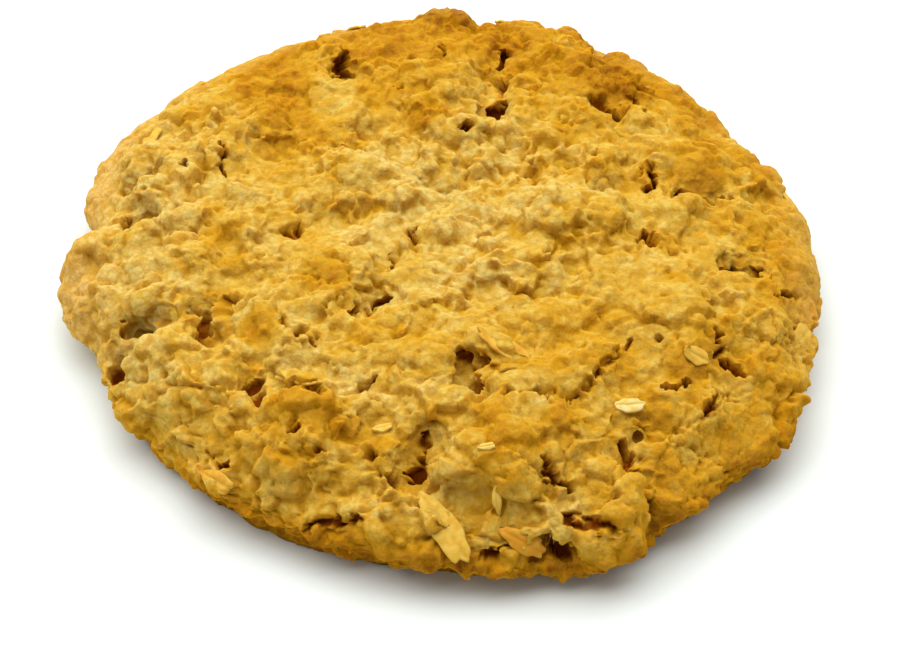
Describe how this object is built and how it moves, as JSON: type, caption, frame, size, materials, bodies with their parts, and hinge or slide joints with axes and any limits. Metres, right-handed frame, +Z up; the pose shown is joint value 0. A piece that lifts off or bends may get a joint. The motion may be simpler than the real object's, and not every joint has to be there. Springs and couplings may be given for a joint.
{
  "type": "anzac biscuit",
  "caption": "Round golden oat biscuit with a craggy crumbly top, a rounded rim, bare oat flakes and a flat baked base.",
  "frame": {"origin": "middle of the flat base, on the surface that the biscuit lies on", "axes": "+Z up through the thickness; -Y is the front that faces the viewer, +X is to the viewer's right"},
  "size_m": [0.0814, 0.0826, 0.0144],
  "materials": {
    "baked_dough": "dry, rough baked oat crumb: golden, paler in the middle, browner at the rim and base"
  },
  "bodies": {
    "root": {"biscuit": "baked_dough"}
  },
  "joints": []
}
